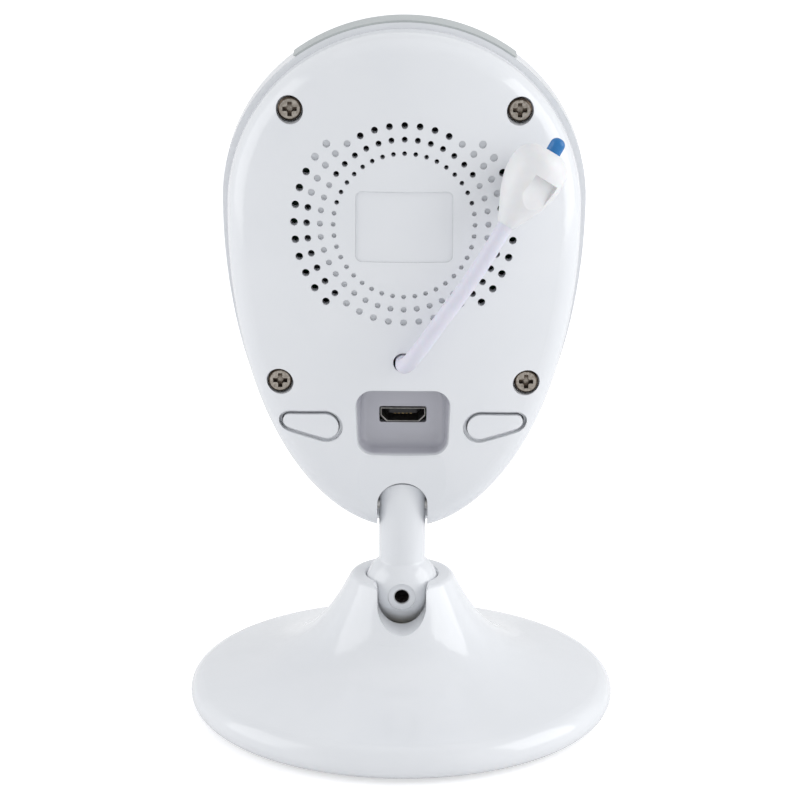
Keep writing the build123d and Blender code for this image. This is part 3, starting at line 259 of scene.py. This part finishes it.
def screw_with_painted_shade(name):
    """Nickel screw with painted shade: nickel shows only on the flat top that faces back and lies open; the
    rounded rim, the sides and the cross recess are painted dark brown as painted shade and painted dark
    reflection.
    """
    s = Shader(name)
    directions = s.nodes.new("ShaderNodeTexCoord")
    towards_back = s.axes(directions.outputs["Normal"])[1]
    faces_out = s.spread(towards_back, 0.90, 0.99, 0.0, 1.0)
    # painted shade: only the open flat top facing back keeps the nickel colour, the rest is painted dark
    lit_open_top = s.math("MULTIPLY", faces_out, s.openness(reach_mm=0.9, low=0.62, high=0.86))
    stain = s.noise(size_mm=0.5, detail=5, rough=0.6)
    nickel = s.ramp(stain, *STAIN_SPREAD, ((0.26, 0.225, 0.19), (0.46, 0.42, 0.37)))
    painted_shade_brown = s.ramp(stain, *STAIN_SPREAD, ((0.035, 0.026, 0.020), (0.10, 0.075, 0.055)))
    s.wire(Base_Color=s.mix(lit_open_top, painted_shade_brown, nickel), Roughness=s.spread(stain, *SOFT_SPREAD, 0.16, 0.32))
    s.set(Metallic=1.0)
    s.rounded(0.08)
    s.bump(s.noise(size_mm=0.12, detail=3, rough=0.6), depth_mm=0.004, strength=0.5)
    return s.done()


def rubber(name, colour, rough=0.72):
    """Matt rubber or foam with a paler bloom in patches."""
    s = Shader(name)
    grain = s.noise(size_mm=0.16, detail=5, rough=0.7)
    bloom = s.noise(size_mm=2.5, detail=3)
    bloomed = tuple(channel * 1.5 + 0.01 for channel in colour)
    s.wire(Base_Color=s.ramp(bloom, 0.3, 0.75, (colour, bloomed)),
           Roughness=s.spread(grain, *SOFT_SPREAD, rough - 0.1, rough + 0.1))
    s.set(Sheen_Weight=0.15)
    s.rounded(0.12)
    s.bump(grain, depth_mm=0.02, strength=0.7)
    return s.done()


def circuit_board(name):
    """Green solder mask over copper tracks that run in two directions, with small tinned pads."""
    s = Shader(name)
    tracks = s.nodes.new("ShaderNodeTexBrick")
    tracks.inputs["Scale"].default_value = 1.0
    tracks.inputs["Mortar Size"].default_value = 0.12
    tracks.inputs["Brick Width"].default_value = 2.3
    tracks.inputs["Row Height"].default_value = 0.7
    turn = s.nodes.new("ShaderNodeMapping")
    turn.inputs["Rotation"].default_value = (math.pi / 2, 0, 0)
    s.links.new(s.place, turn.inputs["Vector"])
    s.links.new(turn.outputs[0], tracks.inputs["Vector"])
    pads = s.nodes.new("ShaderNodeTexVoronoi")
    pads.inputs["Scale"].default_value = 0.55
    s.links.new(s.place, pads.inputs["Vector"])
    is_pad = s.spread(pads.outputs["Distance"], 0.20, 0.24, 1.0, 0.0)
    mask = s.mix(tracks.outputs["Fac"], (0.012, 0.115, 0.045), (0.02, 0.19, 0.075))
    s.wire(Base_Color=s.mix(is_pad, mask, (0.62, 0.60, 0.56)), Metallic=is_pad,
           Roughness=s.spread(is_pad, 0.0, 1.0, 0.22, 0.35))
    s.rounded(0.08)
    s.bump(tracks.outputs["Fac"], depth_mm=0.03, strength=0.5)
    return s.done()


def black_window(name):
    """Deep black polished acrylic, a hint of violet, with faint wipe marks."""
    s = Shader(name)
    wipes = s.noise(size_mm=6, detail=3, rough=0.5, stretch=(1, 1, 0.25))
    s.wire(Base_Color=s.ramp(wipes, *SOFT_SPREAD, ((0.004, 0.004, 0.006), (0.009, 0.008, 0.012))),
           Roughness=s.spread(wipes, 0.4, 0.75, 0.03, 0.09))
    s.set(Coat_Weight=0.6, Coat_Roughness=0.02, IOR=1.49)
    s.rounded(0.12)
    return s.done()


def clear_lens(name, tint, glancing_sheen):
    """Coated glass or epoxy: dark and very smooth, with a painted coloured sheen at glancing angles."""
    s = Shader(name)
    facing = s.nodes.new("ShaderNodeLayerWeight")
    facing.inputs["Blend"].default_value = 0.35
    swirl = s.noise(size_mm=1.2, detail=2)
    # painted sheen: the base colour turns to the sheen colour at glancing angles
    body = s.mix(facing.outputs["Facing"], tint, glancing_sheen)
    s.wire(Base_Color=body, Roughness=s.spread(swirl, *SOFT_SPREAD, 0.02, 0.06))
    s.set(Coat_Weight=1.0, Coat_Roughness=0.01, IOR=1.6, Specular_IOR_Level=0.8)
    return s.done()


def soft_plastic(name, colour):
    """Soft PVC or silicone: slightly translucent look, faint dull patches and a fine grain."""
    s = Shader(name)
    patches = s.noise(size_mm=3, detail=3)
    fine = s.noise(size_mm=0.3, detail=3, rough=0.6)
    s.wire(Base_Color=s.ramp(patches, *SOFT_SPREAD, (scaled(colour, 0.95), colour)),
           Roughness=s.spread(fine, *SOFT_SPREAD, 0.30, 0.46))
    s.set(Subsurface_Weight=0.12, Subsurface_Scale=0.6 * MM, IOR=1.47)
    s.bump(fine, depth_mm=0.008, strength=0.5)
    return s.done()


# what makes each finish: the record's material slots and a few closer looks of single pieces
WHITE = (0.80, 0.812, 0.835)
WHITE_DEEP = (0.775, 0.79, 0.815)
# painted shade inside the power recess
PORT_PAINTED_SHADE_GREY = (0.50, 0.50, 0.545)
# painted shade inside the screw hole of the ball
HOLE_PAINTED_SHADE_BROWN = (0.06, 0.05, 0.045)
FINISHES = {
    "white_shell": partial(gloss_plastic, base=WHITE, deep=WHITE_DEEP),
    # rear shell with painted grey shade in its power recess
    "white_rear": partial(gloss_plastic, base=WHITE, deep=WHITE_DEEP, shade=(port_painted_shade_mask, PORT_PAINTED_SHADE_GREY)),
    # neck with painted dark shade in the screw hole of the ball
    "white_neck": partial(gloss_plastic, base=WHITE, deep=WHITE_DEEP, shade=(ball_hole_painted_shade_mask, HOLE_PAINTED_SHADE_BROWN)),
    "grey_trim": partial(satin_plastic, colour=(0.50, 0.53, 0.53), rough=0.38),
    "underside": partial(satin_plastic, colour=(0.72, 0.73, 0.745), rough=0.55, grain_mm=0.35, depth_mm=0.03),
    "nylon": partial(satin_plastic, colour=(0.76, 0.73, 0.66), rough=0.42, grain_mm=0.5, depth_mm=0.01),
    "black_plastic": partial(satin_plastic, colour=(0.016, 0.016, 0.018), rough=0.42),
    "speaker_body": partial(
        satin_plastic, colour=(0.022, 0.022, 0.024), rough=0.60, grain_mm=0.4, depth_mm=0.03
    ),
    "rubber_foot": partial(rubber, colour=(0.022, 0.022, 0.024)),
    "foam": partial(rubber, colour=(0.03, 0.03, 0.032), rough=0.88),
    "nickel_screw": screw_with_painted_shade,
    "black_screw": partial(metal, colour=(0.030, 0.029, 0.030), dark=(0.012, 0.012, 0.012), rough=0.38),
    "steel": partial(metal, colour=(0.60, 0.60, 0.60), dark=(0.42, 0.41, 0.39), rough=0.26, grain=(1, 1, 6)),
    "socket_steel": partial(metal, colour=(0.36, 0.35, 0.33), dark=(0.24, 0.23, 0.22), rough=0.34),
    "shield_can": partial(
        metal, colour=(0.70, 0.70, 0.68), dark=(0.52, 0.52, 0.50), rough=0.32, grain=(1, 1, 8)
    ),
    "antenna_strip": partial(
        metal, colour=(0.74, 0.56, 0.26), dark=(0.50, 0.36, 0.16), rough=0.30, grain=(8, 1, 1)
    ),
    "gold_contacts": partial(metal, colour=(0.42, 0.32, 0.17), dark=(0.26, 0.19, 0.09), rough=0.34),
    "window": black_window,
    "lens_glass": partial(clear_lens, tint=(0.006, 0.004, 0.015), glancing_sheen=(0.10, 0.03, 0.22)),
    "led_clear": partial(clear_lens, tint=(0.05, 0.035, 0.05), glancing_sheen=(0.22, 0.16, 0.20)),
    "sensor": partial(clear_lens, tint=(0.02, 0.03, 0.03), glancing_sheen=(0.10, 0.16, 0.12)),
    "status_lens": partial(clear_lens, tint=(0.55, 0.60, 0.58), glancing_sheen=(0.80, 0.85, 0.84)),
    "circuit_board": circuit_board,
    "probe_white": partial(soft_plastic, colour=(0.82, 0.82, 0.83)),
    "probe_cable": partial(soft_plastic, colour=(0.735, 0.73, 0.82)),
    "probe_blue": partial(
        gloss_plastic, base=(0.016, 0.185, 0.48), deep=(0.012, 0.15, 0.41), rough=0.20, coat=0.0
    ),
}
SLOT_OF = {entry["node"]: entry["material_slot"] for entry in frame["record"]["subparts"]}
made = {}


def paint(obj, slot):
    """Gives an object one of the finishes, which is made once and shared."""
    if slot not in made:
        made[slot] = FINISHES[slot](slot)
    obj.data.materials.clear()
    obj.data.materials.append(made[slot])


for node_name, node_object in frame["nodes"].items():
    paint(node_object, SLOT_OF[node_name])
paint(frame["nodes"]["usb_shell"], "socket_steel")
# painted shade: grey in the rear shell's power recess, dark brown in the neck's screw hole
paint(frame["nodes"]["rear_shell"], "white_rear")
paint(frame["nodes"]["neck_rear_half"], "white_neck")


# ---------------------------------------------------------------- stage, light and camera
FLOOR_HALF_W = 1.6
FLOOR_DEPTH = 1.5  # from the object to the backdrop
FLOOR_NEAR_EDGE = 1.3  # from the object to the edge behind the camera
FLOOR_RISE = 1.4
FLOOR_BEND_R = 0.5
FLOOR_GLOW, FLOOR_GLOW_SEEN = 0.12, 0.45  # the paper's own light on the object, and as the camera sees it


def build_floor():
    """Pale sweep: a floor that curves up into a backdrop far behind the object."""
    bend_y = FLOOR_BEND_R - FLOOR_DEPTH
    profile = [(FLOOR_NEAR_EDGE, 0.0), (0.0, 0.0), (bend_y, 0.0)]
    profile += [(bend_y - FLOOR_BEND_R * math.sin(angle), FLOOR_BEND_R - FLOOR_BEND_R * math.cos(angle))
                for angle in np.linspace(0.1, math.pi / 2, 10)]
    profile.append((-FLOOR_DEPTH, FLOOR_RISE))
    mesh = bpy.data.meshes.new("floor")
    corners = [(side * FLOOR_HALF_W, y, z) for y, z in profile for side in (1, -1)]
    faces = [(2 * i, 2 * i + 1, 2 * i + 3, 2 * i + 2) for i in range(len(profile) - 1)]
    mesh.from_pydata(corners, [], faces)
    mesh.update()
    floor = bpy.data.objects.new("floor", mesh)
    bpy.context.scene.collection.objects.link(floor)
    for polygon in mesh.polygons:
        polygon.use_smooth = True
    s = Shader("floor_paper")
    fibres = s.noise(size_mm=1.5, detail=4)
    seen = s.nodes.new("ShaderNodeLightPath").outputs["Is Camera Ray"]
    s.wire(Base_Color=s.ramp(fibres, 0.2, 0.8, ((0.79, 0.79, 0.80), (0.83, 0.83, 0.83))),
           Emission_Strength=s.spread(seen, 0.0, 1.0, FLOOR_GLOW, FLOOR_GLOW_SEEN))
    s.set(Roughness=0.9, Specular_IOR_Level=0.1, Emission_Color=(1, 1, 1, 1))
    mesh.materials.append(s.done())


SKY_COLOUR = (0.965, 0.98, 1.0)
# range of a direction's x, y or z, then the strength at its two ends; +Y is behind the camera, -X its right
WORLD_STRENGTHS = {
    "Y": (0.1, 1.0, 0.92, 0.75),
    "X": (-1.0, 1.0, 1.12, 0.97),
    "Z": (0.2, 1.0, 1.0, 0.66),
}
LIGHT_AIM = (0, 0, 0.07)
# name, place and size in metres, watts
SOFT_BOXES = (
    ("top_box", (0, -0.05, 0.95), (1.0, 0.6), 0.4),
    ("left_box", (0.95, 0.12, 0.40), (0.8, 1.0), 3.1),
    ("right_box", (-0.95, 0.12, 0.40), (0.8, 1.0), 4.7),
)


def area_light(name, place, size, watts):
    """A soft box that points at the middle of the object."""
    light = bpy.data.lights.new(name, "AREA")
    light.shape = "RECTANGLE"
    light.size, light.size_y = size
    light.energy = watts
    lamp = bpy.data.objects.new(name, light)
    lamp.location = place
    lamp.rotation_euler = (Vector(LIGHT_AIM) - Vector(place)).to_track_quat("-Z", "Y").to_euler()
    bpy.context.scene.collection.objects.link(lamp)


def build_light():
    """Bright surroundings, darker behind the camera, with soft boxes that graze the sides."""
    world = bpy.data.worlds.new("studio")
    bpy.context.scene.world = world
    world.use_nodes = True
    nodes, links = world.node_tree.nodes, world.node_tree.links
    background = nodes["Background"]
    background.inputs["Color"].default_value = (*SKY_COLOUR, 1)
    direction = nodes.new("ShaderNodeTexCoord")
    parts = nodes.new("ShaderNodeSeparateXYZ")
    links.new(direction.outputs["Generated"], parts.inputs[0])
    strengths = []
    for axis, (low, high, at_low, at_high) in WORLD_STRENGTHS.items():
        spread = nodes.new("ShaderNodeMapRange")
        spread.interpolation_type = "SMOOTHSTEP"
        for key, number in (("From Min", low), ("From Max", high), ("To Min", at_low), ("To Max", at_high)):
            spread.inputs[key].default_value = number
        links.new(parts.outputs[axis], spread.inputs["Value"])
        strengths.append(spread.outputs["Result"])
    total = strengths[0]
    for strength in strengths[1:]:
        product = nodes.new("ShaderNodeMath")
        product.operation = "MULTIPLY"
        links.new(total, product.inputs[0])
        links.new(strength, product.inputs[1])
        total = product.outputs[0]
    links.new(total, background.inputs["Strength"])
    for name, place, size, watts in SOFT_BOXES:
        area_light(name, place, size, watts)


CAMERA_REACH = 0.600  # from the aim point
CAMERA_AIM = (0.0005, 0, 0.05463)
CAMERA_ELEVATION = math.radians(17.0)
CAMERA_LENS = 162.0
SENSOR_WIDTH = 36.0
CAMERA_ROLL = math.radians(0.35)


def build_camera():
    """Looks at the back of the camera unit from a little above, through a long lens."""
    data = bpy.data.cameras.new("photo_camera")
    data.lens = CAMERA_LENS
    data.sensor_width = SENSOR_WIDTH
    camera = bpy.data.objects.new("photo_camera", data)
    aim = Vector(CAMERA_AIM)
    away = Vector((0, math.cos(CAMERA_ELEVATION), math.sin(CAMERA_ELEVATION)))
    camera.location = aim + away * CAMERA_REACH
    camera.rotation_euler = (-away).to_track_quat("-Z", "Y").to_euler()
    camera.rotation_euler.rotate_axis("Z", CAMERA_ROLL)
    bpy.context.scene.collection.objects.link(camera)
    bpy.context.scene.camera = camera


build_floor()
build_light()
build_camera()
bpy.context.scene.view_settings.view_transform = "Standard"
